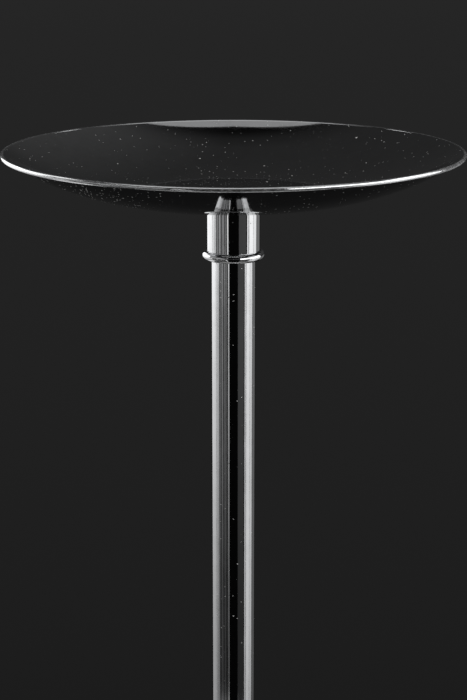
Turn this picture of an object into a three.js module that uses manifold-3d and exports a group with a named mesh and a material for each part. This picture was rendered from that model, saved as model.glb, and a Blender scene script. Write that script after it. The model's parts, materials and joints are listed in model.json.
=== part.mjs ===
// Pedestal stand with a shallow spun dish on a telescoping chrome pole and a weighted round base.
// Millimetres, +Z up. The origin is on the floor, at the centre of the base.
//
// From the floor up: rubber feet, a cast ballast disc under a spun shell, a column tube held down by a
// tie bolt, a lock collar with a thumb screw, the pole that slides in the column, and a dish whose
// socket slips over the top of the pole.
import * as THREE from "three";
import { mergeVertices } from "three/addons/utils/BufferGeometryUtils.js";
import Module from "manifold-3d";

const wasm = await Module();
wasm.setup();

// ---------------------------------------------------------------------------------------------------
// Driving sizes
// ---------------------------------------------------------------------------------------------------

const seatGap = 0.2; // axial gap between faces that rest on each other
const fitGap = 0.2; // radial gap of pieces pressed or brazed into each other
const slideGap = 0.15; // radial gap of pieces that turn or slide on each other

const sheet = 1.2; // thickness of the spun dish and base shell
const beadDiameter = 2.5; // rolled edge of the spun pieces

const dishDiameter = 260;
const dishDepth = 27.3; // from the top of the rim to the underside of the flat
const dishFlatRadius = 42;

const poleDiameter = 25.4;
const poleWall = 1.2;
const columnWall = 1.5;
const columnLength = 600;

const socketWall = 1.25;
const socketLength = 35.2;
const ringHeight = 5; // half-round ring round the mouth of each socket and collar
const ringReach = 2.55; // how far a ring stands out from its socket
const linerWall = 1;
const linerWeb = 1.5; // closed top of the liner, which the pole's end seats on
const linerRecess = 1; // how far the liner stops above the socket's mouth
const plugThickness = 8;

const dimpleDepth = 4.2; // pressed recess in the dish that hides the screw's head
const dimpleDraft = 1.2;
const dishScrewRadius = 3;
const dishScrewRecess = 0.8; // from the screw's end to the lower face of the plug it's in
const dishScrewHead = { radius: 5.6, height: 2.6, socketAcrossFlats: 4, socketDepth: 1.6 };
const dishWasherThickness = 1;

const baseDiameter = 300;
const baseDepth = 32; // from the shell's rim to its flat top
const baseFlatRadius = 40;
const shellLift = 2; // clear height of the shell's rim above the floor

const ballastThickness = 11;
const ballastClearance = 2; // height under the shell that's left free over the ballast's edge
const ballastHubInset = 6; // from the edge of the shell's flat to the hub that carries it
const boltBayClearance = 3; // round the tie bolt's washer, in the bay that takes it
const boltBayRecess = 0.8; // from the bolt's head to the mouth of the bay

const footCount = 4;
const footHeight = 4;
const footRadius = 8;
const footInset = 10; // from the ballast's edge to a foot's centre
const footStem = { radius: 3, length: 6 };

const tieBoltRadius = 5;
const tieBoltHead = { acrossFlats: 16, height: 6.4 };
const tieWasher = { radius: 12, thickness: 2 };
const springWasher = { radius: 9, thickness: 2.2 };
const columnPlugLength = 20;
const tieBoltRecess = 5; // from the bolt's end to the top of the column's plug

const ferruleWall = 2.8;
const ferruleLength = 35.2;

const collarWall = 3;
const collarLength = 36;
const bushWall = 1.35;
const bushFlange = 2;
const bushLength = 40;
const glideLength = 22;
const glideStemLength = 14;

const lockScrewRadius = 4;
const lockDrop = 17; // from the top of the collar to the thumb screw's axis
const lockBoss = { wall: 3.7, reach: 6 }; // boss on the collar that the thumb screw passes through
const lockPad = { thickness: 2.5, spigotRadius: 1.5, spigotLength: 3 };
const padGap = 0.3; // from the pad to the pole
const knob = { radius: 12, length: 14, flutes: 16, fluteDepth: 0.9, standOff: 6, grip: 10 };

const bottomClearance = 5; // under the pole's glide when the pole is fully down
const stowedClearance = 4; // between the collar and the dish's socket when the pole is fully down
const raisedBy = 325; // how far the pole stands above its lowest setting

const fineSides = 48;
const tubeSides = 32;
const smallSides = 16;

// ---------------------------------------------------------------------------------------------------
// Sizes that follow
// ---------------------------------------------------------------------------------------------------

const poleRadius = poleDiameter / 2;
const poleBore = poleRadius - poleWall;
const bushBore = poleRadius + slideGap;
const bushRadius = bushBore + bushWall;
const columnBore = bushRadius + fitGap;
const columnRadius = columnBore + columnWall;
const linerBore = poleRadius + slideGap;
const linerRadius = linerBore + linerWall;
const socketBore = linerRadius + slideGap;
const socketRadius = socketBore + socketWall;
const linerTop = -dimpleDepth - 2 * seatGap - plugThickness; // below the dish's underside
const dimpleRadius = socketBore - 2 * fitGap - sheet - dimpleDraft;
const dishWasherZ = sheet - dimpleDepth + seatGap; // above the dish's underside, as is the next
const dishScrewZ = dishWasherZ + dishWasherThickness + seatGap;
const ferruleBore = columnRadius + fitGap;
const collarBore = columnRadius + fitGap;
const collarRadius = collarBore + collarWall;
const bushFlangeRadius = collarBore - fitGap;
const glideRadius = columnBore - fitGap;
const lockHoleRadius = lockScrewRadius + 0.3;

const shellTopZ = shellLift + baseDepth;
const ballastBottomZ = footHeight + seatGap;
const ballastTopZ = shellTopZ - sheet - seatGap;
const ballastHubRadius = baseFlatRadius - ballastHubInset;
const boltBayRadius = tieWasher.radius + boltBayClearance;
const boltBayDepth =
  boltBayRecess + tieBoltHead.height + springWasher.thickness + tieWasher.thickness + 3 * seatGap;
const boltBayZ = ballastBottomZ + boltBayDepth;
const columnBottomZ = shellTopZ + seatGap;
const columnTopZ = columnBottomZ + columnLength;
const collarTopZ = columnTopZ + seatGap + bushFlange;
const lockZ = collarTopZ - lockDrop;
const socketBottomZ = collarTopZ + stowedClearance + raisedBy;
const dishZ = socketBottomZ + socketLength; // underside of the dish's flat
const poleTopZ = dishZ + linerTop - linerWeb - seatGap;
const poleBottomZ =
  columnBottomZ + columnPlugLength + bottomClearance + raisedBy + glideLength + seatGap;

// Radius of the arc on the underside of a spun disc, between its flat and its rolled edge. The upper side
// of the sheet runs tangent into the roll, which stands out below it.
function spunSweep(radius, depth, flatRadius) {
  const bead = beadDiameter / 2;
  const run = radius - bead - flatRadius;
  const rise = depth - bead;
  return (run ** 2 + rise ** 2 - (bead - sheet) ** 2) / (2 * (depth - sheet));
}

// The ballast reaches out to where the shell's inside comes down to its clearance over the ballast's edge.
const shellSweep = spunSweep(baseDiameter / 2, baseDepth, baseFlatRadius);
const ballastEdgeDrop = shellTopZ - (ballastBottomZ + ballastThickness + ballastClearance);
const ballastRadius =
  baseFlatRadius + Math.sqrt((shellSweep - sheet) ** 2 - (shellSweep - ballastEdgeDrop) ** 2);
const footCircleRadius = ballastRadius - footInset;

// ---------------------------------------------------------------------------------------------------
// Ways of making a piece
// ---------------------------------------------------------------------------------------------------

// Turns an outline of [radius, height] points about Z. It runs from the bottom, out, up and back in.
function turned(outline, sides) {
  const points = outline.map(([radius, height]) => new THREE.Vector2(radius, height));
  return new THREE.LatheGeometry(points, sides).rotateX(Math.PI / 2);
}

// The same for an outline that doesn't reach the axis and closes on itself.
function turnedRing(outline, sides) {
  return turned([...outline, outline[0]], sides);
}

function tube(bore, radius, length, sides) {
  return turnedRing([[bore, 0], [radius, 0], [radius, length], [bore, length]], sides);
}

function rod(radius, length, sides) {
  return turned([[0, 0], [radius, 0], [radius, length], [0, length]], sides);
}

// Points along an arc about [radius, height], angles in degrees from the outward direction.
function arc([centreRadius, centreHeight], radius, from, to, steps) {
  return Array.from({ length: steps + 1 }, (_, i) => {
    const angle = THREE.MathUtils.degToRad(from + ((to - from) * i) / steps);
    return [centreRadius + radius * Math.cos(angle), centreHeight + radius * Math.sin(angle)];
  });
}

function solidFrom(geometry) {
  const bare = geometry.clone();
  bare.deleteAttribute("normal");
  bare.deleteAttribute("uv");
  const merged = mergeVertices(bare, 1e-4);
  return new wasm.Manifold(
    new wasm.Mesh({
      numProp: 3,
      vertProperties: merged.attributes.position.array,
      triVerts: new Uint32Array(merged.index.array),
    }),
  );
}

function geometryFrom(solid) {
  const { vertProperties, triVerts } = solid.getMesh();
  return new THREE.BufferGeometry()
    .setAttribute("position", new THREE.BufferAttribute(vertProperties, 3))
    .setIndex(new THREE.BufferAttribute(triVerts, 1));
}

function cut(geometry, ...tools) {
  return geometryFrom(tools.reduce((solid, tool) => solid.subtract(solidFrom(tool)), solidFrom(geometry)));
}

function joined(geometry, ...others) {
  return geometryFrom(others.reduce((solid, other) => solid.add(solidFrom(other)), solidFrom(geometry)));
}

// A rod that lies along +X, starting at the given X, at the given height.
function sideRod(radius, fromX, toX, height) {
  return rod(radius, toX - fromX, smallSides)
    .rotateY(Math.PI / 2)
    .translate(fromX, 0, height);
}

function hexPrism(acrossFlats, height) {
  return new THREE.CylinderGeometry(acrossFlats / Math.sqrt(3), acrossFlats / Math.sqrt(3), height, 6)
    .rotateX(Math.PI / 2)
    .translate(0, 0, height / 2);
}

// ---------------------------------------------------------------------------------------------------
// Pieces
// ---------------------------------------------------------------------------------------------------

// A spun disc: a flat, an arc up to the rim, and an edge rolled outwards and under. The flat's underside
// is at height 0, and the two centre lists are the outline's points inside the flat, below and above it.
function spunDisc({ radius, depth, flatRadius, centreBelow, centreAbove }) {
  const bead = beadDiameter / 2;
  const sweep = spunSweep(radius, depth, flatRadius);
  const run = radius - bead - flatRadius;
  const slope = THREE.MathUtils.radToDeg(Math.asin(run / (sweep - sheet + bead)));
  const middle = [flatRadius, sweep];
  const steps = 5;
  const below = arc(middle, sweep, -90, -90 + slope, steps).slice(0, -1);
  const roll = arc([radius - bead, depth - bead], bead, slope - 180, slope + 90, 6);
  const above = arc(middle, sweep - sheet, -90 + slope, -90, steps).slice(1);
  return turnedRing([...centreBelow, ...below, ...roll, ...above, ...centreAbove], fineSides);
}

function dish() {
  const hole = dishScrewRadius + fitGap;
  return spunDisc({
    radius: dishDiameter / 2,
    depth: dishDepth,
    flatRadius: dishFlatRadius,
    centreBelow: [
      [hole, -dimpleDepth],
      [dimpleRadius + sheet, -dimpleDepth],
      [dimpleRadius + sheet + dimpleDraft, 0],
    ],
    centreAbove: [
      [dimpleRadius + dimpleDraft, sheet],
      [dimpleRadius, sheet - dimpleDepth],
      [hole, sheet - dimpleDepth],
    ],
  });
}

// The spun shell is turned over, so its flat is on top and its rim near the floor.
function baseShell() {
  const hole = tieBoltRadius + 0.5;
  return spunDisc({
    radius: baseDiameter / 2,
    depth: baseDepth,
    flatRadius: baseFlatRadius,
    centreBelow: [[hole, 0]],
    centreAbove: [[hole, sheet]],
  }).rotateX(Math.PI);
}

// Half-round ring round the mouth of a socket, centred on its own height.
function mouthRing(socketOuterRadius) {
  const inner = socketOuterRadius + fitGap;
  const outer = socketOuterRadius + ringReach + fitGap;
  const round = ringHeight / 2;
  return turnedRing(
    [[inner, -round], ...arc([outer - round, 0], round, -90, 90, 4), [inner, round]],
    tubeSides,
  );
}

// Closed bush in the socket, hung from its top face.
function socketLiner() {
  const length = socketLength + linerTop - linerRecess;
  return turned(
    [
      [0, -linerWeb],
      [linerBore, -linerWeb],
      [linerBore, -length],
      [linerRadius, -length],
      [linerRadius, 0],
      [0, 0],
    ],
    tubeSides,
  );
}

// Button-head screw with a hexagon socket, hung from the underside of its head.
function dishScrew() {
  const { radius, height, socketAcrossFlats, socketDepth } = dishScrewHead;
  const length = dishScrewZ - (linerTop + seatGap) - dishScrewRecess;
  const crownRadius = (radius * radius + height * height) / (2 * height);
  const edge = THREE.MathUtils.radToDeg(Math.acos(radius / crownRadius));
  const crown = arc([0, height - crownRadius], crownRadius, edge, 90, 4).slice(0, -1);
  const body = turned(
    [[0, -length], [dishScrewRadius, -length], [dishScrewRadius, 0], ...crown, [0, height]],
    smallSides,
  );
  return cut(body, hexPrism(socketAcrossFlats, height).translate(0, 0, height - socketDepth));
}

// Cast disc with a hub that carries the shell's flat, a bay for the bolt's head, and holes for the feet.
function ballast() {
  const hole = tieBoltRadius + 0.5;
  const chamfer = 2;
  const body = turnedRing(
    [
      [hole, boltBayDepth],
      [boltBayRadius, boltBayDepth],
      [boltBayRadius, 0],
      [ballastRadius - chamfer, 0],
      [ballastRadius, chamfer],
      [ballastRadius, ballastThickness - chamfer],
      [ballastRadius - chamfer, ballastThickness],
      [ballastHubRadius + chamfer, ballastThickness],
      [ballastHubRadius, ballastThickness + chamfer],
      [ballastHubRadius, ballastTopZ - ballastBottomZ],
      [hole, ballastTopZ - ballastBottomZ],
    ],
    tubeSides,
  );
  const stemHoles = footPlaces.map(([x, y]) =>
    rod(footStem.radius + fitGap, footStem.length + 1, smallSides).translate(x, y, -0.5),
  );
  return cut(body, ...stemHoles);
}

const footPlaces = Array.from({ length: footCount }, (_, i) => {
  const angle = (2 * Math.PI * (i + 0.5)) / footCount;
  return [footCircleRadius * Math.cos(angle), footCircleRadius * Math.sin(angle)];
});

function rubberFoot() {
  const chamfer = 1;
  return turned(
    [
      [0, 0],
      [footRadius - chamfer, 0],
      [footRadius, chamfer],
      [footRadius, footHeight],
      [footStem.radius, footHeight],
      [footStem.radius, footHeight + footStem.length],
      [0, footHeight + footStem.length],
    ],
    smallSides,
  );
}

// Hexagon bolt, standing on the underside of its head.
function tieBolt() {
  const { acrossFlats, height } = tieBoltHead;
  const reach = columnBottomZ + columnPlugLength - tieBoltRecess - tieBoltHeadZ;
  return joined(hexPrism(acrossFlats, height), rod(tieBoltRadius, reach, smallSides));
}

const tieWasherZ = boltBayZ - seatGap - tieWasher.thickness;
const springWasherZ = tieWasherZ - seatGap - springWasher.thickness;
const tieBoltHeadZ = springWasherZ - seatGap - tieBoltHead.height;

// Split ring: a plain washer with a slot sawn through one side.
function splitWasher() {
  const { radius, thickness } = springWasher;
  const slot = new THREE.BoxGeometry(radius, 1.5, 3 * thickness)
    .rotateX(0.5)
    .translate(radius, 0, thickness / 2);
  return cut(tube(tieBoltRadius + fitGap, radius, thickness, smallSides), slot);
}

function columnTube() {
  const body = tube(columnBore, columnRadius, columnLength, tubeSides);
  return cut(body, sideRod(lockHoleRadius, 0, 2 * columnRadius, lockZ - columnBottomZ));
}

// Collar with a boss on one side, bored through for the thumb screw.
function lockCollar() {
  const chamfer = 0.8;
  const lockHeight = collarLength - lockDrop;
  const ring = turnedRing(
    [
      [collarBore, 0],
      [collarRadius, 0],
      [collarRadius, collarLength - chamfer],
      [collarRadius - chamfer, collarLength],
      [collarBore, collarLength],
    ],
    tubeSides,
  );
  const bossEnd = collarRadius + lockBoss.reach;
  const boss = sideRod(lockHoleRadius + lockBoss.wall, collarBore + collarWall / 3, bossEnd, lockHeight);
  const hole = sideRod(lockHoleRadius, 0, bossEnd + 1, lockHeight);
  return cut(joined(ring, boss), hole);
}

// Flanged bush in the top of the column, hung from the underside of its flange.
function guideBush() {
  const body = turnedRing(
    [
      [bushBore, -bushLength],
      [bushRadius, -bushLength],
      [bushRadius, 0],
      [bushFlangeRadius, 0],
      [bushFlangeRadius, bushFlange],
      [bushBore, bushFlange],
    ],
    tubeSides,
  );
  return cut(body, sideRod(lockHoleRadius, 0, 2 * bushRadius, lockZ - columnTopZ - seatGap));
}

// Stepped plug in the foot of the pole, which slides in the column. It hangs from its shoulder.
function poleGlide() {
  const stem = poleBore - fitGap;
  return turned(
    [
      [0, -glideLength],
      [glideRadius - 1, -glideLength],
      [glideRadius, 1 - glideLength],
      [glideRadius, 0],
      [stem, 0],
      [stem, glideStemLength],
      [0, glideStemLength],
    ],
    tubeSides,
  );
}

// The thumb screw, its pad and its knob are made upright, with the pad's face at height 0.
const lockScrewStart = lockPad.thickness + seatGap;
const knobStart = collarRadius + lockBoss.reach + knob.standOff - poleRadius - padGap;

function padPiece() {
  const { thickness, spigotRadius, spigotLength } = lockPad;
  const radius = lockScrewRadius - 0.4;
  const spigotTop = thickness + spigotLength;
  return turned(
    [
      [0, 0],
      [radius, 0],
      [radius, thickness],
      [spigotRadius, thickness],
      [spigotRadius, spigotTop],
      [0, spigotTop],
    ],
    smallSides,
  );
}

function lockScrew() {
  const pocket = lockPad.spigotRadius + fitGap;
  const pocketTop = lockScrewStart + lockPad.spigotLength;
  const top = knobStart + knob.grip;
  return turned(
    [
      [0, pocketTop],
      [pocket, pocketTop],
      [pocket, lockScrewStart],
      [lockScrewRadius, lockScrewStart],
      [lockScrewRadius, top],
      [0, top],
    ],
    smallSides,
  );
}

function lockKnob() {
  const { radius, length, flutes, fluteDepth, grip } = knob;
  const pointsPerFlute = 4;
  const count = flutes * pointsPerFlute;
  const bevel = 1;
  const outline = Array.from({ length: count }, (_, i) => {
    const angle = (2 * Math.PI * i) / count;
    const dip = fluteDepth * Math.abs(Math.cos((flutes * angle) / 2));
    const reach = radius - bevel - dip;
    return new THREE.Vector2(reach * Math.cos(angle), reach * Math.sin(angle));
  });
  const body = new THREE.ExtrudeGeometry(new THREE.Shape(outline), {
    depth: length - 2 * bevel,
    bevelThickness: bevel,
    bevelSize: bevel,
    bevelSegments: 1,
  }).translate(0, 0, bevel);
  const pocket = rod(lockScrewRadius + fitGap, grip + seatGap + 1, smallSides).translate(0, 0, -1);
  return cut(body, pocket);
}

// ---------------------------------------------------------------------------------------------------
// Materials and assembly
// ---------------------------------------------------------------------------------------------------

const chrome = new THREE.MeshStandardMaterial({ color: 0xd8d8da, roughness: 0.06, metalness: 1 });
const zinc = new THREE.MeshStandardMaterial({ color: 0xb4b6b8, roughness: 0.35, metalness: 1 });
const castIron = new THREE.MeshStandardMaterial({ color: 0x2a2a2c, roughness: 0.75, metalness: 0.3 });
const nylon = new THREE.MeshStandardMaterial({ color: 0x151516, roughness: 0.5, metalness: 0 });
const rubber = new THREE.MeshStandardMaterial({ color: 0x101010, roughness: 0.85, metalness: 0 });

function place(group, name, geometry, material, x = 0, y = 0, z = 0) {
  const mesh = new THREE.Mesh(geometry, material);
  mesh.name = name;
  mesh.position.set(x, y, z);
  group.add(mesh);
}

const stand = new THREE.Group();

const base = new THREE.Group();
stand.add(base);
footPlaces.forEach(([x, y], i) => place(base, `rubber_foot_${i + 1}`, rubberFoot(), rubber, x, y, 0));
place(base, "ballast_disc", ballast(), castIron, 0, 0, ballastBottomZ);
place(base, "base_shell", baseShell(), chrome, 0, 0, shellTopZ);
place(base, "tie_bolt", tieBolt(), zinc, 0, 0, tieBoltHeadZ);
place(base, "tie_spring_washer", splitWasher(), zinc, 0, 0, springWasherZ);
place(
  base,
  "tie_washer",
  tube(tieBoltRadius + fitGap, tieWasher.radius, tieWasher.thickness, smallSides),
  zinc,
  0,
  0,
  tieWasherZ,
);

const column = new THREE.Group();
column.position.z = columnBottomZ;
stand.add(column);
place(
  column,
  "column_plug",
  tube(tieBoltRadius + fitGap, columnBore - fitGap, columnPlugLength, tubeSides),
  zinc,
);
place(column, "column_tube", columnTube(), chrome);
place(column, "base_ferrule", tube(ferruleBore, ferruleBore + ferruleWall, ferruleLength, tubeSides), chrome);
place(
  column,
  "base_ferrule_ring",
  mouthRing(ferruleBore + ferruleWall),
  chrome,
  0,
  0,
  ferruleLength - ringHeight / 2,
);

const lock = new THREE.Group();
lock.position.z = collarTopZ - collarLength;
stand.add(lock);
place(lock, "lock_collar", lockCollar(), chrome);
place(lock, "lock_collar_ring", mouthRing(collarRadius), chrome, 0, 0, ringHeight / 2);
place(lock, "guide_bush", guideBush(), nylon, 0, 0, columnTopZ + seatGap - lock.position.z);

const thumbScrew = new THREE.Group();
thumbScrew.position.set(poleRadius + padGap, 0, lockZ);
thumbScrew.rotation.y = Math.PI / 2;
stand.add(thumbScrew);
place(thumbScrew, "lock_pad", padPiece(), nylon);
place(thumbScrew, "lock_screw", lockScrew(), zinc);
place(thumbScrew, "lock_knob", lockKnob(), chrome, 0, 0, knobStart);

const pole = new THREE.Group();
pole.position.z = poleBottomZ;
stand.add(pole);
place(pole, "pole_glide", poleGlide(), nylon, 0, 0, -seatGap);
place(pole, "pole_tube", tube(poleBore, poleRadius, poleTopZ - poleBottomZ, tubeSides), chrome);

const top = new THREE.Group();
top.position.z = dishZ;
stand.add(top);
place(top, "socket_liner", socketLiner(), nylon, 0, 0, linerTop);
place(
  top,
  "socket_plug",
  tube(dishScrewRadius + fitGap, socketBore - fitGap, plugThickness, tubeSides),
  zinc,
  0,
  0,
  linerTop + seatGap,
);
place(
  top,
  "socket_sleeve",
  tube(socketBore, socketRadius, socketLength - seatGap, tubeSides),
  chrome,
  0,
  0,
  -socketLength,
);
place(top, "socket_ring", mouthRing(socketRadius), chrome, 0, 0, ringHeight / 2 - socketLength);
place(top, "dish", dish(), chrome);
place(
  top,
  "dish_washer",
  tube(dishScrewRadius + fitGap, dimpleRadius - fitGap, dishWasherThickness, smallSides),
  zinc,
  0,
  0,
  dishWasherZ,
);
place(top, "dish_screw", dishScrew(), chrome, 0, 0, dishScrewZ);

export default stand;
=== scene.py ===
"""Looks of the pedestal dish stand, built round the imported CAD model. Metres, +Z up.

Every piece is rebuilt as a finely turned solid in the place of its CAD node: the dish and base with
their rolled edges, the tubes, rings and collar, the thumb screw with its thread and fluted knob, and
what is inside and underneath. The room is dark, with panels of light for the chrome to reflect.
"""

import json
import math

import bpy
import numpy as np
from mathutils import Matrix, Vector

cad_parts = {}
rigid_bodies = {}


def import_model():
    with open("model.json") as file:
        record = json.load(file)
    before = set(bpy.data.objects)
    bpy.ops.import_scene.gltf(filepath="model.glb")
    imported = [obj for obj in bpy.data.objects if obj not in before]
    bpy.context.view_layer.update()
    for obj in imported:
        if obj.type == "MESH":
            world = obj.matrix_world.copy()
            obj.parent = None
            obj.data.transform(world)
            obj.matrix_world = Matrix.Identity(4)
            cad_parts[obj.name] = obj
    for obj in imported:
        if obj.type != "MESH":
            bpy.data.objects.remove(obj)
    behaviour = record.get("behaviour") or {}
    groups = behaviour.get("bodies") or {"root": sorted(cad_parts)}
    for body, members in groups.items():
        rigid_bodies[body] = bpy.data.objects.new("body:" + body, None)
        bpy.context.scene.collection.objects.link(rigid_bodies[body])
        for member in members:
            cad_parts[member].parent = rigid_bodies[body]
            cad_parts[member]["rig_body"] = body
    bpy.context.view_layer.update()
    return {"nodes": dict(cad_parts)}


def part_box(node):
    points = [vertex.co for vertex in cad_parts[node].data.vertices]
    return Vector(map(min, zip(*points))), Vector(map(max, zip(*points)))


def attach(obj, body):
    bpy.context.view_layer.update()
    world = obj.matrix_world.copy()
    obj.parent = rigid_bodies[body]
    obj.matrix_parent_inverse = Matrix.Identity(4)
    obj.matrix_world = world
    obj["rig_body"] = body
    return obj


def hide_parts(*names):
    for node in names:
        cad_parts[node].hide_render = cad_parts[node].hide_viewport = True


MM = 0.001
FINE = 256  # sides of a large turned piece
SMALL = 96  # sides of a small one

# Sizes that the CAD boxes don't give
SEAT = 0.2 * MM  # gap drawn between pieces that touch
SHEET = 1.2 * MM  # thickness of the dish and of the base's shell
BEAD = 1.25 * MM  # radius of their rolled edge
PROUD = 0.12 * MM  # how far it stands above the sheet's upper side
DISH_FLAT = 42 * MM  # radius of the flat centre
BASE_FLAT = 40 * MM
POLE_WALL = 1.2 * MM
COLUMN_WALL = 1.5 * MM
SLEEVE_WALL = 1.25 * MM
PLAY = 0.15 * MM  # between the pole and the nylon pieces that it slides in
M6_HOLE = 3.2 * MM  # radius, as for the two below
M8_HOLE = 4.3 * MM
M10_HOLE = 5.2 * MM
SHELL_HOLE = 5.5 * MM  # in the base's shell and ballast

# The camera, which looks along +Y and down
CAMERA_BACK = 0.9403
CAMERA_ABOVE_RIM = 0.1375
CAMERA_DOWN = 15.13  # degrees
CAMERA_LENS = 86.5

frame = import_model()


# Outlines: lists of (radius, height) that run from the bottom, out, up and back in.


def arc(centre, radius, start, end, steps):
    """Points along an arc, with the angles in degrees from the outward direction."""
    angles = np.radians(np.linspace(start, end, steps + 1))
    return [(centre[0] + radius * math.cos(a), centre[1] + radius * math.sin(a)) for a in angles]


def rounded(outline, radius, closed=True, steps=5):
    """The outline with each sharp corner rounded, as far as the sides next to it allow."""
    count = len(outline)
    result = []
    for i, point in enumerate(outline):
        corner = Vector(point)
        if not closed and i in (0, count - 1):
            result.append(point)
            continue
        before = Vector(outline[i - 1]) - corner
        after = Vector(outline[(i + 1) % count]) - corner
        turn = math.degrees(math.pi - before.angle(after))
        if turn < 30:
            result.append(point)
            continue
        reach = min(radius, 0.45 * before.length, 0.45 * after.length)
        start = corner + before.normalized() * reach
        end = corner + after.normalized() * reach
        for k in range(steps + 1):
            t = k / steps
            result.append(tuple(start * (1 - t) ** 2 + corner * (2 * t * (1 - t)) + end * t**2))
    return result


def wall(bore, radius, bottom, top):
    """Outline of a tube."""
    return [(bore, bottom), (radius, bottom), (radius, top), (bore, top)]


# Meshes


def linked(name, data):
    """A new object in the scene."""
    obj = bpy.data.objects.new(name, data)
    bpy.context.scene.collection.objects.link(obj)
    return obj


def end_normals(outline, closed):
    """The normals at the two ends of each side of the outline, shared where it turns gently."""
    points = np.array(outline)
    count = len(points) if closed else len(points) - 1
    side = np.roll(points, -1, axis=0)[:count] - points[:count]
    length = np.linalg.norm(side, axis=1)
    normal = np.stack([side[:, 1], -side[:, 0]], axis=1) / length[:, None]

    def shared(i, j):
        if normal[i] @ normal[j] < math.cos(math.radians(35)):
            return normal[i]
        mean = normal[i] * length[i] ** 2 + normal[j] * length[j] ** 2
        return mean / np.linalg.norm(mean)

    starts = [shared(i, (i - 1) % count) for i in range(count)]
    ends = [shared(i, (i + 1) % count) for i in range(count)]
    if not closed:
        starts[0], ends[-1] = normal[0], normal[-1]
    return starts, ends


def turned(name, outline, sides=FINE, closed=True, shape=None):
    """An object turned about Z. A shape function may vary its radius with the angle and the height."""
    verts = []
    rings = []
    angles = [2 * math.pi * k / sides for k in range(sides)]
    for radius, height in outline:
        if radius < 1e-7:
            rings.append([len(verts)] * sides)
            verts.append((0, 0, height))
            continue
        rings.append(range(len(verts), len(verts) + sides))
        for angle in angles:
            reach = shape(angle, radius, height) if shape else radius
            verts.append((reach * math.cos(angle), reach * math.sin(angle), height))
    starts, ends = end_normals(outline, closed)
    faces = []
    normals = []
    for i, (start, end) in enumerate(zip(starts, ends)):
        low, high = rings[i], rings[(i + 1) % len(rings)]
        for k in range(sides):
            n = (k + 1) % sides
            corners = [(low[k], k, start), (low[n], n, start), (high[n], n, end), (high[k], k, end)]
            if low[k] == low[n]:
                corners.pop(0)
            elif high[k] == high[n]:
                corners.pop(3)
            faces.append([vertex for vertex, _, _ in corners])
            for _, step, (out, up) in corners:
                normals.append((out * math.cos(angles[step]), out * math.sin(angles[step]), up))
    mesh = bpy.data.meshes.new(name)
    mesh.from_pydata(verts, [], faces)
    mesh.shade_smooth()
    if shape:
        mesh.set_sharp_from_angle(angle=math.radians(38))
    else:
        mesh.normals_split_custom_set(normals)
    return linked(name, mesh)


def laid_along_x(obj, start, height):
    """Lays an object made upright along +X, its zero at the start."""
    turn = Matrix.Translation((start, 0, height)) @ Matrix.Rotation(math.pi / 2, 4, "Y")
    obj.data.transform(turn)
    return obj


def combined(obj, tool, operation):
    """The object with another one joined to it or cut from it."""
    step = obj.modifiers.new("combine", "BOOLEAN")
    step.object = tool
    step.operation = operation
    step.solver = "EXACT"
    bpy.context.view_layer.update()
    evaluated = obj.evaluated_get(bpy.context.evaluated_depsgraph_get())
    mesh = bpy.data.meshes.new_from_object(evaluated)
    obj.modifiers.clear()
    obj.data = mesh
    bpy.data.objects.remove(tool)
    return obj


def true_normals(obj, side_height=0):
    """Shades an object made by combining as the turned pieces it came from: about Z, and about X."""
    mesh = obj.data
    normals = []
    for face in mesh.polygons:
        for index in face.vertices:
            place = mesh.vertices[index].co
            about_z = Vector((place.x, place.y, 0)).normalized()
            about_x = Vector((0, place.y, place.z - side_height)).normalized()
            choices = [about_z, -about_z, about_x, -about_x]
            best = max(choices, key=face.normal.dot)
            normals.append(best if face.normal.dot(best) > 0.995 else face.normal.copy())
    mesh.shade_smooth()
    mesh.normals_split_custom_set(normals)
    return obj


def stands_for(obj, node, material):
    """The object takes a CAD node's place, on the same body."""
    obj.data.materials.clear()
    obj.data.materials.append(material)
    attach(obj, frame["nodes"][node]["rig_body"])
    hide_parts(node)


def span(node):
    """Radius, bottom and top of a CAD node that stands on the axis."""
    low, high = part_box(node)
    return high.x, low.z, high.z


# Materials


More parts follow.
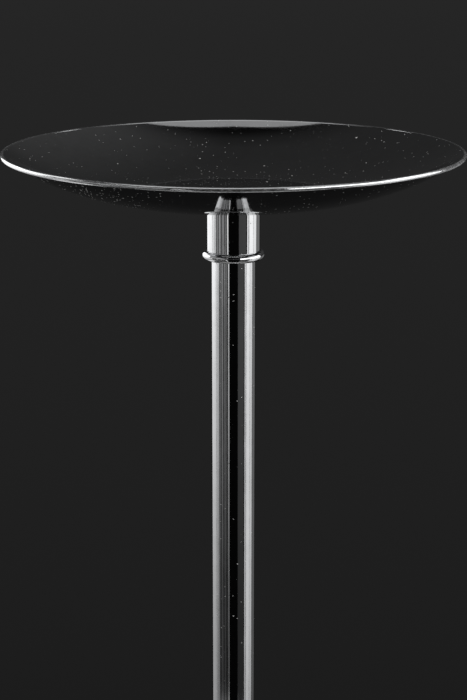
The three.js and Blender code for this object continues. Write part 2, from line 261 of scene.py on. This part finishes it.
class Nodes:
    """A material built from nodes, whose inputs are values or other nodes' outputs."""

    def __init__(self, name):
        self.material = bpy.data.materials.new(name)
        self.material.use_nodes = True
        self.tree = self.material.node_tree
        self.shader = self.tree.nodes["Principled BSDF"]
        self.place = self.add("TexCoord").outputs["Object"]

    def add(self, kind, inputs=None, **settings):
        node = self.tree.nodes.new("ShaderNode" + kind)
        for key, value in settings.items():
            setattr(node, key, value)
        for key, value in (inputs or {}).items():
            self.set(node.inputs[key], value)
        return node

    def set(self, socket, value):
        if isinstance(value, bpy.types.NodeSocket):
            self.tree.links.new(value, socket)
        else:
            socket.default_value = value

    def math(self, operation, a, b=0.0):
        return self.add("Math", {0: a, 1: b}, operation=operation).outputs[0]

    def spread(self, value, low, high, to_low=0.0, to_high=1.0):
        """Maps low..high to to_low..to_high, and stops at both."""
        inputs = {"Value": value, "From Min": low, "From Max": high}
        inputs |= {"To Min": to_low, "To Max": to_high}
        return self.add("MapRange", inputs).outputs["Result"]

    def noise(self, size, detail=3.0, rough=0.5, place=None):
        """Noise whose features are about that size in metres."""
        inputs = {"Vector": place or self.place, "Scale": 1 / size}
        inputs |= {"Detail": detail, "Roughness": rough}
        return self.add("TexNoise", inputs).outputs["Fac"]

    def blend(self, factor, a, b):
        """A colour between two others, by the inputs and output that a Mix node keeps for colours."""
        return self.add("Mix", data_type="RGBA", inputs={0: factor, 6: a, 7: b}).outputs[2]

    def specks(self, spacing, largest, share, seed):
        """Mask of small round specks: one cell in so many holds one, of up to that radius."""
        moved = self.add("VectorMath", {0: self.place, 1: (seed, seed, seed)}, operation="ADD")
        cells = self.add("TexVoronoi", {"Vector": moved.outputs[0], "Scale": 1 / spacing})
        chance = self.add("SeparateColor", {"Color": cells.outputs["Color"]}).outputs["Red"]
        radius = self.spread(chance, 1 - share, 1, 0, largest / spacing)
        inside = self.math("SUBTRACT", radius, cells.outputs["Distance"])
        return self.spread(inside, 0, 0.15 * largest / spacing)

    def bump(self, height, distance, under=None):
        node = self.add("Bump", {"Height": height, "Distance": distance, "Strength": 1.0})
        if under:
            self.set(node.inputs["Normal"], under)
        return node.outputs["Normal"]

    def finish(self, **inputs):
        for key, value in inputs.items():
            self.set(self.shader.inputs[key.replace("_", " ")], value)
        return self.material


def chrome(name, dust, rough, lines, edge=None):
    """Bright plating: polishing lines, hazy smears and dust. All lengths are in metres.

    On a tube the lines run along it. On the dish and the base, whose edge is at the given radius, they
    run round it, the edge is rubbed and nicked, and there is more dust on the underside towards -X."""
    n = Nodes(name)
    east, north, up = n.add("SeparateXYZ", {"Vector": n.place}).outputs
    radius = n.math("SQRT", n.math("ADD", n.math("POWER", east, 2.0), n.math("POWER", north, 2.0)))
    if edge:
        run = n.add("CombineXYZ", {0: radius, 2: up}).outputs[0]
    else:
        run = n.add("CombineXYZ", {0: east, 1: north, 2: n.math("MULTIPLY", up, 0.02)}).outputs[0]
    polish = n.noise(0.0009, 4, 0.6, run)
    smear = n.noise(0.035, 6, 0.62)
    haze = n.noise(0.006, 5, 0.6)
    patches = n.spread(n.noise(0.05, 2), 0.4, 0.6, 0.25, 1)
    drift = n.spread(east, -0.06, 0.1, 0.65, 1)
    fine = n.math("MULTIPLY", n.specks(0.0024, 0.00042, 0.3 * dust, 0.3), patches)
    coarse = n.specks(0.008, 0.00075, 0.3 * dust, 1.7)
    speck = n.math("MULTIPLY", n.math("MAXIMUM", fine, coarse), drift)
    if edge:
        normal = n.add("TexCoord").outputs["Normal"]
        under = n.spread(n.add("SeparateXYZ", {"Vector": normal}).outputs["Z"], -0.3, -0.7)
        west = n.spread(east, -0.02, -0.075)
        spots = n.math("MULTIPLY", n.specks(0.0017, 0.0005, 0.5, 2.9), west)
        speck = n.math("MAXIMUM", speck, n.math("MULTIPLY", spots, under))
    film = n.spread(n.math("MULTIPLY", smear, haze), 0.2, 0.42)
    tone = n.blend(film, (0.6, 0.605, 0.615, 1), (0.54, 0.545, 0.55, 1))
    scratched = n.spread(polish, 0.35, 0.7, 0, 0.6 * rough)
    gloss = n.math("ADD", n.spread(film, 0, 1, rough, 2.2 * rough), scratched)
    dull = n.math("MULTIPLY", speck, 0.85)
    if edge:
        nicks = n.spread(n.noise(0.0022, 4, 0.65), 0.42, 0.62, 0.25, 1)
        rub = n.math("MULTIPLY", n.spread(radius, edge - 0.0021, edge - 0.0013), nicks)
        gloss = n.math("ADD", gloss, n.math("MULTIPLY", rub, 0.12))
        dull = n.math("MAXIMUM", dull, n.math("MULTIPLY", rub, 0.28))
    return n.finish(
        Base_Color=n.blend(speck, tone, (0.62, 0.61, 0.59, 1)),
        Metallic=n.math("SUBTRACT", 1.0, dull),
        Roughness=n.math("MAXIMUM", gloss, n.math("MULTIPLY", speck, 0.8)),
        Normal=n.bump(speck, 0.00006, n.bump(polish, lines)),
    )


def zinc():
    """Dull plating with a faint yellow and blue bloom."""
    n = Nodes("zinc_plating")
    bloom = n.spread(n.noise(0.004, 4), 0.3, 0.7)
    grain = n.noise(0.0006, 5, 0.7)
    scuffs = n.specks(0.004, 0.0009, 0.3, 0.9)
    tone = n.blend(bloom, (0.42, 0.44, 0.47, 1), (0.54, 0.52, 0.46, 1))
    return n.finish(
        Base_Color=n.blend(n.math("MULTIPLY", scuffs, 0.4), tone, (0.3, 0.3, 0.3, 1)),
        Metallic=1.0,
        Roughness=n.spread(grain, 0.25, 0.75, 0.28, 0.5),
        Normal=n.bump(grain, 0.00002),
    )


def cast_iron():
    """Sand-cast iron under thin black paint, worn through in spots."""
    n = Nodes("cast_iron_paint")
    sand = n.noise(0.0016, 6, 0.65)
    swell = n.noise(0.012, 3)
    worn = n.spread(n.math("MULTIPLY", sand, n.noise(0.02, 4)), 0.36, 0.42)
    return n.finish(
        Base_Color=n.blend(worn, (0.022, 0.022, 0.024, 1), (0.16, 0.11, 0.08, 1)),
        Metallic=n.math("MULTIPLY", worn, 0.4),
        Roughness=n.spread(sand, 0.3, 0.7, 0.5, 0.8),
        Normal=n.bump(sand, 0.00035, n.bump(swell, 0.0008)),
    )


def moulded(name, tone, pale, low, high, grain_depth):
    """Moulded nylon or rubber: fine grain, with a paler film of dust in places."""
    n = Nodes(name)
    grain = n.noise(0.0005, 4, 0.6)
    film = n.spread(n.noise(0.009, 5, 0.6), 0.42, 0.75)
    return n.finish(
        Base_Color=n.blend(film, tone, pale),
        Roughness=n.spread(grain, 0.3, 0.7, low, high),
        Normal=n.bump(grain, grain_depth),
    )


dish_chrome = chrome("chrome_dish", 2.2, 0.03, 0.0000012, span("dish")[0])
base_chrome = chrome("chrome_base", 0.9, 0.03, 0.0000012, span("base_shell")[0])
tube_chrome = chrome("chrome_tube", 1.3, 0.035, 0.000006)
small_chrome = chrome("chrome_small", 0.8, 0.045, 0.000001)
zinc_plating = zinc()
iron_paint = cast_iron()
NYLON, NYLON_DUST = (0.018, 0.018, 0.019, 1), (0.035, 0.034, 0.033, 1)
RUBBER, RUBBER_DUST = (0.012, 0.012, 0.012, 1), (0.05, 0.048, 0.045, 1)
black_nylon = moulded("nylon_black", NYLON, NYLON_DUST, 0.36, 0.55, 0.00003)
black_rubber = moulded("rubber_black", RUBBER, RUBBER_DUST, 0.65, 0.9, 0.00006)


# Pieces of one plain form


def plain(node, bore, ease, material, sides=FINE, way="turned"):
    """A tube, plug or washer in the place of a CAD node, with its edges eased."""
    radius, bottom, top = span(node)
    outline = rounded(wall(bore, radius, bottom, top), ease)
    stands_for(turned(f"{node}_{way}", outline, sides), node, material)


def mouth_ring(node, inner):
    """Half-round ring brazed round a mouth, with its edges eased where it meets the sleeve."""
    radius, bottom, top = span(node)
    round_radius = (top - bottom) / 2
    centre = (radius - round_radius, (bottom + top) / 2)
    ease = 0.2 * MM
    outline = [(inner, bottom + ease), (inner + ease, bottom)]
    outline += arc(centre, round_radius, -90, 90, 28) + [(inner + ease, top), (inner, top - ease)]
    stands_for(turned(f"{node}_turned", outline), node, tube_chrome)


def plug(node, outline, ease):
    """A nylon piece from an outline that starts and ends on the axis."""
    piece = turned(f"{node}_moulded", rounded(outline, ease, False), SMALL, False)
    stands_for(piece, node, black_nylon)


def hexagon(angle, across_flats):
    """Distance from the axis to the side of a hexagon."""
    turn = (angle + math.pi / 6) % (math.pi / 3) - math.pi / 6
    return across_flats / 2 / math.cos(turn)


def spun(radius, depth, flat, below, above):
    """Outline of a spun disc: a flat, an arc up to the rim, and an edge rolled outwards and under.

    The roll leaves a crease on the underside and a fine lip on the upper side."""
    run = radius - BEAD - flat
    rise = depth - BEAD
    offset = BEAD - SHEET - PROUD
    sweep = (run**2 + rise**2 - offset**2) / (2 * (rise + offset))
    slope = math.degrees(math.asin(run / (sweep + offset)))
    lip = math.degrees(math.acos(1 - PROUD / BEAD))
    crease = math.degrees(BEAD / sweep)
    outside = arc((flat, sweep), sweep, -90, -90 + slope - crease, 48)
    roll = arc((radius - BEAD, depth - BEAD), BEAD, slope - 170, slope + 90 + lip, 34)
    lip_end = -90 + slope - crease * math.sin(math.radians(lip))
    inside = arc((flat, sweep), sweep - SHEET, lip_end, -90, 48)[1:]
    return below + outside + roll + inside + above


# The dish and what holds it

dish_radius, dish_bottom, rim = span("dish")
sleeve_radius, _, sleeve_top = span("socket_sleeve")
dish_floor = sleeve_top + SEAT
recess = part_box("dish_washer")[1].x + SEAT  # radius of the pressed recess
recess_rim = 26 * MM
deep = dish_bottom - dish_floor
slant = 1.2 * MM
below = [(M6_HOLE, deep), (recess + SHEET, deep), (recess + SHEET + slant, 0), (recess_rim, 0)]
above = [(recess_rim, SHEET), (recess + slant, SHEET), (recess, deep + SHEET), (M6_HOLE, deep + SHEET)]
below, above = (rounded(side, 1.2 * MM, False) for side in (below, above))
dish = turned("dish_spun", spun(dish_radius, rim - dish_floor, DISH_FLAT, below, above), 320)
dish.data.transform(Matrix.Translation((0, 0, dish_floor)))
stands_for(dish, "dish", dish_chrome)
plain("dish_washer", M6_HOLE, 0.25 * MM, zinc_plating, SMALL)


def button_head_screw():
    """An M6 screw with a domed head and a hexagon socket."""
    radius, bottom, top = span("dish_screw")
    under = span("dish_washer")[2] + SEAT
    height = top - under
    shank = 3 * MM
    crown_radius = (radius**2 + height**2) / (2 * height)
    edge = math.degrees(math.acos(radius / crown_radius))
    crown = arc((0, top - crown_radius), crown_radius, edge + 4, 66, 12)
    mouth = crown[-1][1]
    floor = top - 1.6 * MM
    socket = 2.0 * MM
    outline = [(0, bottom), (0.8 * shank, bottom), (shank, bottom + 0.6 * MM), (shank, under)]
    outline += [(radius - 0.3 * MM, under), (radius, under + 0.2 * MM)] + crown
    outline += [(socket + 0.42 * MM, mouth - 0.05 * MM), (socket, mouth - 0.35 * MM)]
    outline += [(socket, floor), (0, floor - 0.3 * MM)]

    def shape(angle, reach, height):
        in_socket = height > floor - 0.1 * MM and reach <= socket + 1e-6
        return hexagon(angle, 2 * reach) if in_socket else reach

    return turned("dish_screw_turned", outline, SMALL, False, shape)


stands_for(button_head_screw(), "dish_screw", small_chrome)
plain("socket_plug", M6_HOLE, 0.5 * MM, zinc_plating, SMALL)
plain("socket_sleeve", sleeve_radius - SLEEVE_WALL, 0.35 * MM, tube_chrome)
mouth_ring("socket_ring", sleeve_radius + SEAT)

liner_radius, liner_bottom, liner_top = span("socket_liner")
pole_radius, pole_bottom, pole_top = span("pole_tube")
sliding_bore = pole_radius + PLAY
web = pole_top + SEAT
liner = [(0, web), (sliding_bore, web), (sliding_bore, liner_bottom), (liner_radius, liner_bottom)]
plug("socket_liner", liner + [(liner_radius, liner_top), (0, liner_top)], 0.4 * MM)

# The pole

plain("pole_tube", pole_radius - POLE_WALL, 0.3 * MM, tube_chrome, way="drawn")
glide_radius, glide_bottom, glide_top = span("pole_glide")
shoulder = pole_bottom - SEAT
stem = pole_radius - POLE_WALL - SEAT
bevel = 1 * MM
glide = [(0, glide_bottom), (glide_radius - bevel, glide_bottom), (glide_radius, glide_bottom + bevel)]
glide += [(glide_radius, shoulder), (stem, shoulder), (stem, glide_top), (0, glide_top)]
plug("pole_glide", glide, 0.5 * MM)

# The column, its ferrule and its collar

column_radius, column_bottom, column_top = span("column_tube")
column_bore = column_radius - COLUMN_WALL
screw_low, screw_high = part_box("lock_screw")
screw_height = (screw_low.z + screw_high.z) / 2


def drilled(obj, to=30 * MM):
    """The object with the hole for the thumb screw, cut along +X as far as that."""
    rod = [(0, 0), (M8_HOLE, 0), (M8_HOLE, to), (0, to)]
    rod = laid_along_x(turned("hole", rod, SMALL, False), 0, screw_height)
    return true_normals(combined(obj, rod, "DIFFERENCE"), screw_height)


column = wall(column_bore, column_radius, column_bottom, column_top)
column = drilled(turned("column_tube_drawn", rounded(column, 0.3 * MM)))
stands_for(column, "column_tube", tube_chrome)
plain("column_plug", M10_HOLE, 0.5 * MM, zinc_plating, SMALL)

ferrule_bore = column_radius + SEAT
plain("base_ferrule", ferrule_bore, 0.5 * MM, tube_chrome)
mouth_ring("base_ferrule_ring", span("base_ferrule")[0] + SEAT)

collar_low, collar_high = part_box("lock_collar")
collar_radius = collar_high.y
band = wall(ferrule_bore, collar_radius, collar_low.z, collar_high.z)
band = turned("lock_collar_turned", rounded(band, 0.8 * MM))
boss_radius = 8 * MM
boss_start = collar_radius - 2 * MM
length = collar_high.x - boss_start
groove = length - 2.2 * MM
ease = 0.7 * MM
boss = [(0, 0), (boss_radius, 0), (boss_radius, groove), (boss_radius - 0.5 * MM, groove + 0.4 * MM)]
boss += [(boss_radius, groove + 0.8 * MM), (boss_radius, length - ease)]
boss += arc((boss_radius - ease, length - ease), ease, 15, 90, 5) + [(0, length)]
boss = laid_along_x(turned("boss", boss, SMALL, False), boss_start, screw_height)
collar = drilled(combined(band, boss, "UNION"), collar_high.x + 5 * MM)
stands_for(collar, "lock_collar", tube_chrome)
mouth_ring("lock_collar_ring", collar_radius + SEAT)

flange_radius, bush_bottom, bush_top = span("guide_bush")
bush_radius = column_bore - SEAT
flange = column_top + SEAT
bush = [(sliding_bore, bush_bottom), (bush_radius, bush_bottom), (bush_radius, flange)]
bush += [(flange_radius, flange), (flange_radius, bush_top), (sliding_bore, bush_top)]
bush = drilled(turned("guide_bush_moulded", rounded(bush, 0.4 * MM), SMALL))
stands_for(bush, "guide_bush", black_nylon)

# The thumb screw, its pad and its knob, each made upright and laid along +X

pad_low, pad_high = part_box("lock_pad")
pad_length = pad_high.x - pad_low.x
pad_radius = 3.6 * MM
pin_radius = 1.5 * MM  # of the pin that holds it in the screw's end
face = screw_low.x - SEAT - pad_low.x
pad = [(0, 0), (pad_radius, 0), (pad_radius, face), (pin_radius, face)]
pad += [(pin_radius, pad_length), (0, pad_length)]
pad = turned("lock_pad_moulded", rounded(pad, 0.3 * MM, False), SMALL, False)
stands_for(laid_along_x(pad, pad_low.x, screw_height), "lock_pad", black_nylon)

PITCH = 1.25 * MM
THREAD_DEPTH = 0.68 * MM
THREAD_RADIUS = 4 * MM
screw_length = screw_high.x - screw_low.x
thread_end = screw_length - 9 * MM


def thread(angle, radius, height):
    """An M8 thread between the screw's end and its knob."""
    if radius < THREAD_RADIUS - 0.5 * MM:
        return radius
    phase = (height / PITCH - angle / (2 * math.pi)) % 1
    cut = min(1, max(0, 2.6 * abs(phase - 0.5) - 0.1))
    fade_in = min(1, max(0, (height - 0.6 * MM) / PITCH))
    fade_out = min(1, max(0, (thread_end - height) / PITCH + 0.5))
    chamfer = 0.5 * MM * max(0, 1 - height / (0.8 * MM))
    return radius - THREAD_DEPTH * cut * fade_in * fade_out - chamfer


hole_radius, hole_depth = 1.7 * MM, 3.1 * MM  # for the pad's pin
screw = [(0, hole_depth), (hole_radius, hole_depth), (hole_radius, 0)]
screw += [(THREAD_RADIUS, thread_end * k / 220) for k in range(221)]
screw += [(THREAD_RADIUS, screw_length - 0.5 * MM), (THREAD_RADIUS - 0.5 * MM, screw_length)]
screw = turned("lock_screw_threaded", screw + [(0, screw_length)], SMALL, False, thread)
stands_for(laid_along_x(screw, screw_low.x, screw_height), "lock_screw", zinc_plating)

knob_low, knob_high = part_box("lock_knob")
knob_length = knob_high.x - knob_low.x
knob_radius = knob_high.z - screw_height
FLUTES = 16
FLUTE_DEPTH = 1 * MM
FLUTES_FROM = 7.5 * MM  # radius at which they start on its faces


def fluted(angle, radius, height):
    """Scallops round the knob's rim, which fade out on its faces."""
    if radius < FLUTES_FROM:
        return radius
    wave = abs(math.cos(FLUTES * angle / 2)) ** 0.75
    fade = min(1, (radius - FLUTES_FROM) / (knob_radius - 9 * MM))
    return radius - FLUTE_DEPTH * fade * wave


bore, depth = 4.2 * MM, 10.2 * MM
back, front, crown = 1.6 * MM, 1.9 * MM, 42 * MM  # radii of its two edges and its domed face
knob = [(0, depth), (bore, depth), (bore, 0.4 * MM), (bore + 0.4 * MM, 0), (8 * MM, 0)]
knob += arc((knob_radius - back, back), back, -90, 0, 8)
knob += arc((knob_radius - front, knob_length - 2.5 * MM), front, 0, 70, 8)
knob += arc((0, knob_length - crown), crown, 78, 90, 10)[1:-1] + [(0, knob_length)]
knob = turned("lock_knob_fluted", knob, 320, False, fluted)
stands_for(laid_along_x(knob, knob_low.x, screw_height), "lock_knob", small_chrome)

# The base

shell_radius, shell_bottom, shell_top = span("base_shell")
shell_depth = shell_top - shell_bottom
shell = spun(shell_radius, shell_depth, BASE_FLAT, [(SHELL_HOLE, 0)], [(SHELL_HOLE, SHEET)])
shell = turned("base_shell_spun", shell, 320)
shell.data.transform(Matrix.Translation((0, 0, shell_top)) @ Matrix.Rotation(math.pi, 4, "X"))
stands_for(shell, "base_shell", base_chrome)

feet = sorted(name for name in frame["nodes"] if name.startswith("rubber_foot"))


def at_foot(obj, foot, height):
    """Moves an object made on the axis to that height in line with a foot."""
    low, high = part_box(foot)
    spot = (low + high) / 2
    obj.data.transform(Matrix.Translation((spot.x, spot.y, height)))
    return obj


ballast_radius, ballast_bottom, ballast_top = span("ballast_disc")
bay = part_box("tie_washer")[1].x + 3 * MM  # radius of the bay for the bolt's head
bay_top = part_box("tie_washer")[1].z + SEAT
edge = ballast_bottom + 11 * MM
hub = 34 * MM
slant = 2 * MM
ballast = [(SHELL_HOLE, bay_top), (bay, bay_top), (bay + 0.3 * MM, ballast_bottom)]
ballast += [(ballast_radius - slant, ballast_bottom), (ballast_radius, ballast_bottom + slant)]
ballast += [(ballast_radius, edge - slant), (ballast_radius - slant, edge), (hub + slant, edge)]
ballast += [(hub, edge + slant), (hub, ballast_top), (SHELL_HOLE, ballast_top)]
ballast = turned("ballast_disc_cast", rounded(ballast, 1.2 * MM), 192)
for foot in feet:
    pocket = [(0, 0), (3.2 * MM, 0), (3.2 * MM, 7 * MM), (0, 7 * MM)]
    pocket = at_foot(turned("pocket", pocket, 48, False), foot, ballast_bottom - 0.5 * MM)
    ballast = combined(ballast, pocket, "DIFFERENCE")
stands_for(true_normals(ballast), "ballast_disc", iron_paint)

for foot in feet:
    peg_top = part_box(foot)[1].z
    outline = [(0, 0.5 * MM), (4.2 * MM, 0.5 * MM), (4.6 * MM, 0), (7 * MM, 0), (8 * MM, 1 * MM)]
    outline += [(8 * MM, 4 * MM), (3 * MM, 4 * MM), (3 * MM, peg_top), (0, peg_top)]
    piece = turned(f"{foot}_moulded", rounded(outline, 0.5 * MM, False), SMALL, False)
    stands_for(at_foot(piece, foot, 0), foot, black_rubber)

plain("tie_washer", M10_HOLE, 0.3 * MM, zinc_plating, SMALL)


def split_ring():
    """A spring washer: a ring sawn through at a slant, one end a little lower than the other."""
    low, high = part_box("tie_spring_washer")
    rise = 0.2 * MM
    section = wall(M10_HOLE, -low.x, low.z + rise / 2, high.z - rise / 2)
    section = rounded(section, 0.25 * MM, steps=3)
    steps = 120
    verts = []
    for k in range(steps + 1):
        t = k / steps
        for r, z in section:
            angle = math.radians(6) + t * math.radians(348) + (z - low.z) * 60
            verts.append((r * math.cos(angle), r * math.sin(angle), z + (t - 0.5) * rise))
    count = len(section)
    faces = [tuple(range(count)), tuple(reversed(range(steps * count, (steps + 1) * count)))]
    for this in range(0, steps * count, count):
        for i in range(count):
            j = (i + 1) % count
            faces.append((this + count + i, this + count + j, this + j, this + i))
    mesh = bpy.data.meshes.new("tie_spring_washer_split")
    mesh.from_pydata(verts, [], faces)
    mesh.shade_smooth()
    mesh.set_sharp_from_angle(angle=math.radians(38))
    return linked(mesh.name, mesh)


stands_for(split_ring(), "tie_spring_washer", zinc_plating)


def hexagon_bolt():
    """An M10 bolt whose head is down, with a chamfer round the head's face."""
    low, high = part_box("tie_bolt")
    flats = min(high.x - low.x, high.y - low.y)
    past_corner = max(high.x, high.y) + 1 * MM
    head_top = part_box("tie_spring_washer")[0].z - SEAT
    shank = 5 * MM
    face = 0.46 * flats
    outline = [(0, low.z), (face, low.z)]
    outline += [(face + step * 0.12 * MM, low.z + step * 0.07 * MM) for step in range(1, 17)]
    outline += [(past_corner, low.z + 1.3 * MM), (past_corner, head_top - 0.1 * MM)]
    outline += [(0.49 * flats, head_top), (shank, head_top), (shank, high.z - 1 * MM)]
    outline += [(shank - 0.8 * MM, high.z), (0, high.z)]
    turn = 0 if high.y > high.x else math.pi / 6

    def shape(angle, radius, height):
        if height > head_top - 0.05 * MM or radius < 0.45 * flats:
            return radius
        return min(radius, hexagon(angle + turn, flats))

    return turned("tie_bolt_forged", outline, 192, False, shape)


stands_for(hexagon_bolt(), "tie_bolt", zinc_plating)

# The floor, the room and the lights


def floor():
    """A pale disc under the feet, kept small so that the dish's underside doesn't reflect it."""
    radius, depth, bevel = 0.48, 0.02, 3 * MM
    outline = [(0, -depth), (radius - bevel, -depth), (radius, -depth / 2), (radius - bevel, 0), (0, 0)]
    obj = turned("floor", outline, 192, False)
    obj.data.transform(Matrix.Translation((0, 0, -0.2 * MM)))
    n = Nodes("floor_paint")
    patches = n.spread(n.noise(0.02, 6, 0.6), 0.3, 0.7)
    tone = n.blend(patches, (0.62, 0.62, 0.61, 1), (0.5952, 0.5952, 0.5856, 1))
    obj.data.materials.append(n.finish(Base_Color=tone, Roughness=0.75))


floor()


def mark_out(ramp, stops):
    """Gives a colour ramp its (position, level) stops."""
    marks = ramp.color_ramp.elements
    while len(marks) < len(stops):
        marks.new(0.5)
    for mark, (position, level) in zip(marks, stops):
        mark.position = position
        mark.color = (level, level, level, 1)


def room():
    """Dark grey walls, black low down on the -Y side and overhead, and a faint window on the right.

    Each ramp runs along one axis of the direction looked in, from -1 to 1."""
    world = bpy.data.worlds.new("room")
    bpy.context.scene.world = world
    world.use_nodes = True
    nodes, links = world.node_tree.nodes, world.node_tree.links
    way = nodes.new("ShaderNodeSeparateXYZ")
    links.new(nodes.new("ShaderNodeTexCoord").outputs["Generated"], way.inputs[0])

    def ramp(output, stops):
        node = nodes.new("ShaderNodeValToRGB")
        shift = nodes.new("ShaderNodeMapRange")
        shift.inputs["From Min"].default_value = -1
        links.new(output, shift.inputs["Value"])
        links.new(shift.outputs["Result"], node.inputs["Fac"])
        mark_out(node, [((place + 1) / 2, level) for place, level in stops])
        return node.outputs["Color"]

    def joined(operation, a, b):
        node = nodes.new("ShaderNodeVectorMath")
        node.operation = operation
        links.new(a, node.inputs[0])
        links.new(b, node.inputs[1])
        return node.outputs[0]

    east, north, up = way.outputs
    walls = [(-1, 0.006), (-0.6, 0.008), (-0.42, 0.0125), (-0.08, 0.0185), (0.1, 0.026)]
    walls = ramp(up, walls + [(0.8, 0.026), (0.87, 0.018), (0.91, 0.005), (0.95, 0.0015)])
    front = ramp(north, [(-1, 0.12), (-0.86, 0.15), (-0.3, 0.8), (0.1, 1)])
    above = ramp(up, [(-1, 0), (-0.1, 0), (0.15, 1)])
    window = ramp(east, [(-1, 0), (0.02, 0), (0.35, 0.036), (1, 0.036)])
    window_height = ramp(up, [(-1, 0), (0, 0), (0.3, 1), (0.84, 1), (0.95, 0.2)])
    shade = joined("MAXIMUM", front, above)
    total = joined("ADD", joined("MULTIPLY", walls, shade), joined("MULTIPLY", window, window_height))
    links.new(total, nodes["Background"].inputs["Color"])


room()


def panel(name, centre, target, width, height, glow):
    """A rectangular light that faces the target and whose face glows that brightly."""
    light = bpy.data.lights.new(name, "AREA")
    light.shape = "RECTANGLE"
    light.size = width
    light.size_y = height
    light.energy = glow * math.pi * width * height
    obj = linked(name, light)
    obj.location = centre
    obj.rotation_euler = (target - centre).to_track_quat("-Z", "Y").to_matrix().to_euler()
    return light


def nodes_of(light):
    """A light's nodes and links, and the place across and up its face, each from 0 to 1."""
    light.use_nodes = True
    nodes, links = light.node_tree.nodes, light.node_tree.links
    split = nodes.new("ShaderNodeSeparateXYZ")
    links.new(nodes.new("ShaderNodeTexCoord").outputs["UV"], split.inputs[0])
    return nodes, links, split.outputs[0], split.outputs[1]


def softbox(name, start, end, levels, distance=1.6):
    """An upright panel between two bearings, in degrees from the camera's side towards +X.

    The levels are (height, glow) pairs from its bottom to its top, and its glow runs through them."""
    angles = math.radians(start), math.radians(end)
    left, right = (Vector((math.sin(a), -math.cos(a), 0)) * distance for a in angles)
    bottom, top = levels[0][0], levels[-1][0]
    centre = (left + right) / 2 + Vector((0, 0, (bottom + top) / 2))
    peak = max(glow for _, glow in levels)
    axis = Vector((0, 0, centre.z))
    light = panel(name, centre, axis, (right - left).length, top - bottom, peak)
    nodes, links, _, up = nodes_of(light)
    ramp = nodes.new("ShaderNodeValToRGB")
    links.new(up, ramp.inputs["Fac"])
    mark_out(ramp, [((height - bottom) / (top - bottom), glow / peak) for height, glow in levels])
    links.new(ramp.outputs["Color"], nodes["Emission"].inputs["Color"])


# The strips on the left, on the right and in between: how they glow from bottom to top, how far off
# they are, and the bearings and the share of the glow of each. Below -0.15 m they show only in the
# dish's underside.
LEFT = [(-0.9, 1.1), (-0.2, 1.1), (-0.12, 0.4), (0.06, 0.5), (0.48, 0.95), (0.67, 1.5), (1, 1.75)]
RIGHT = [(-0.9, 1.1), (-0.2, 1.1), (-0.12, 0.65), (0.06, 0.8), (0.48, 1.1), (0.67, 1.45), (1, 1.5)]
FILL = [(-0.9, 1.2), (-0.2, 0.9), (-0.14, 0.12), (0.06, 0.2), (0.48, 0.65), (0.67, 1), (1, 1)]
LOW = [(-0.9, 0.3), (-0.2, 0.2), (-0.14, 0.02), (0.06, 0.03), (0.48, 0.07), (1, 0.07)]
LEFT_STRIPS = [(-152, -104, 1), (-103, -92, 0.78), (-91, -82, 0.62)]
RIGHT_STRIPS = [(61, 66, 0.85), (67, 70, 0.65), (71, 94, 1), (95, 114, 0.85)]
FILL_STRIPS = [(-78, -71, 0.34), (-69, -66, 0.16), (-65, -57, 0.42), (-55, -50, 0.14)]
FILL_STRIPS += [(-49, -42, 0.34), (-41, -38, 0.12), (-37, -33, 0.3), (-28, -22, 1)]
ROWS = [(LEFT, 1.6, LEFT_STRIPS), (RIGHT, 1.6, RIGHT_STRIPS), (FILL, 1.7, FILL_STRIPS)]
for levels, distance, strips in ROWS:
    for start, end, share in strips:
        shares = [(height, glow * share) for height, glow in levels]
        softbox(f"strip_{start}", start, end, shares, distance)
softbox("left_high", -152, -100, [(1.01, 2.6), (1.75, 2.6)])
softbox("left_upper", -135, -95, [(1.76, 1.6), (2.6, 1.6)])
softbox("right_upper", 95, 135, [(1.91, 1.6), (2.6, 1.6)])
softbox("left_line", -99, -30, [(1.22, 0.9), (1.45, 0.9)])
softbox("right_edge", 115, 148, [(-0.12, 0.1), (0.67, 0.2), (0.95, 0.2)])
softbox("right_high", 25, 115, [(1.05, 3), (1.9, 3)])
softbox("low_grey", 23, 56, LOW, 1.7)
CEILING = 2.55
panel("over_front", Vector((0, -0.3, CEILING)), Vector((0, -0.3, 0)), 2.2, 1, 0.8)


def overhead(near=0.2, middle=0.685, far=0.9, reach=0.75, glow=0.36):
    """A panel over the dish that glows down, from near to far along +Y and that far to each side.

    Its far edge slants from its middle out to its corners."""
    centre = Vector((0, (near + far) / 2, CEILING))
    depth = far - near
    light = panel("overhead", centre, centre - Vector((0, 0, 1)), 2 * reach, depth, glow)
    nodes, links, across, along = nodes_of(light)

    def maths(operation, *values):
        node = nodes.new("ShaderNodeMath")
        node.operation = operation
        for socket, value in zip(node.inputs, values):
            if isinstance(value, bpy.types.NodeSocket):
                links.new(value, socket)
            else:
                socket.default_value = value
        return node.outputs[0]

    aside = maths("ABSOLUTE", maths("SUBTRACT", across, 0.5))
    edge = maths("MULTIPLY_ADD", aside, 2 * (far - middle) / depth, (middle - near) / depth)
    inside = maths("LESS_THAN", along, edge)
    links.new(maths("MULTIPLY", inside, light.energy), nodes["Emission"].inputs["Strength"])
    light.energy = 1


overhead()

# The camera

scene = bpy.context.scene
scene.view_settings.view_transform = "Standard"
eye = linked("camera", bpy.data.cameras.new("camera"))
eye.data.lens = CAMERA_LENS
eye.data.sensor_width = 36
eye.data.clip_start = 0.05
eye.location = (0, -CAMERA_BACK, rim + CAMERA_ABOVE_RIM)
eye.rotation_euler = (math.radians(90 - CAMERA_DOWN), 0, 0)
scene.camera = eye

bpy.context.view_layer.update()
